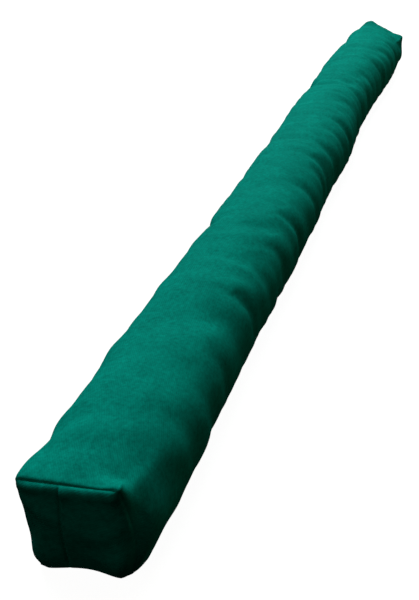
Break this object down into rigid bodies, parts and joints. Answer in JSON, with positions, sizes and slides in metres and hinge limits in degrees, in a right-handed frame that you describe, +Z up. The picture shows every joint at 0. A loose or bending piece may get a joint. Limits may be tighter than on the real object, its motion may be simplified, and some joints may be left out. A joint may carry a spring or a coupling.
{
  "type": "draught excluder",
  "caption": "Long filled door draught excluder in green cotton twill, a soft tube with square boxed and seamed ends, lying flat along the floor.",
  "frame": {"origin": "on the floor, under the middle of the tube's bounding box", "axes": "+Y along the tube from its near end to its far end, +X across it to the right, +Z up"},
  "size_m": [0.0712, 0.9084, 0.0587],
  "materials": {
    "green_twill": "matt cotton twill with a faint sheen on the crests of its folds"
  },
  "bodies": {
    "root": {"filled_casing": "green_twill"}
  },
  "joints": []
}
